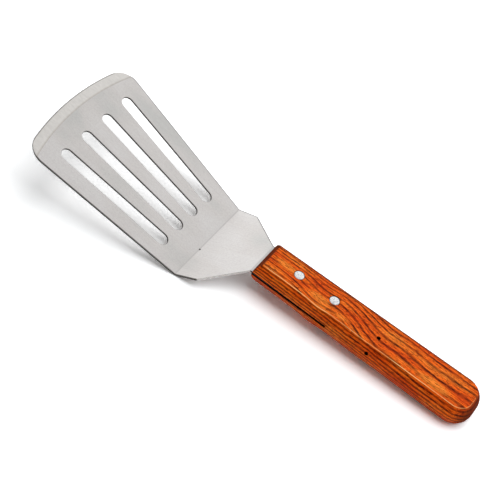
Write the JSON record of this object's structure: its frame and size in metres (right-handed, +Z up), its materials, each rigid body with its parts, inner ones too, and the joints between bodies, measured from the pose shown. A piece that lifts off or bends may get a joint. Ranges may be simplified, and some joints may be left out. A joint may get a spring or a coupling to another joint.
{
  "type": "slotted turner",
  "caption": "Slotted kitchen turner: a bent stainless steel blade with fanned drain slots and a ground front edge, riveted into a flat wooden handle with rounded sides.",
  "frame": {"origin": "bottom centre of the turner's box as it lies at rest on the heel of its blade and its handle's end", "axes": "+X from the blade's front edge to the handle's end, +Y across, +Z up from the worktop"},
  "size_m": [0.252, 0.0828, 0.0306],
  "materials": {
    "stainless_steel": "satin stainless sheet",
    "varnished_hardwood": "varnished reddish orange hardwood with dark grain",
    "rivet_aluminium": "matt turned aluminium"
  },
  "bodies": {
    "root": {"blade": "stainless_steel", "handle": "varnished_hardwood", "rivet_front": "rivet_aluminium", "rivet_rear": "rivet_aluminium"}
  },
  "joints": []
}
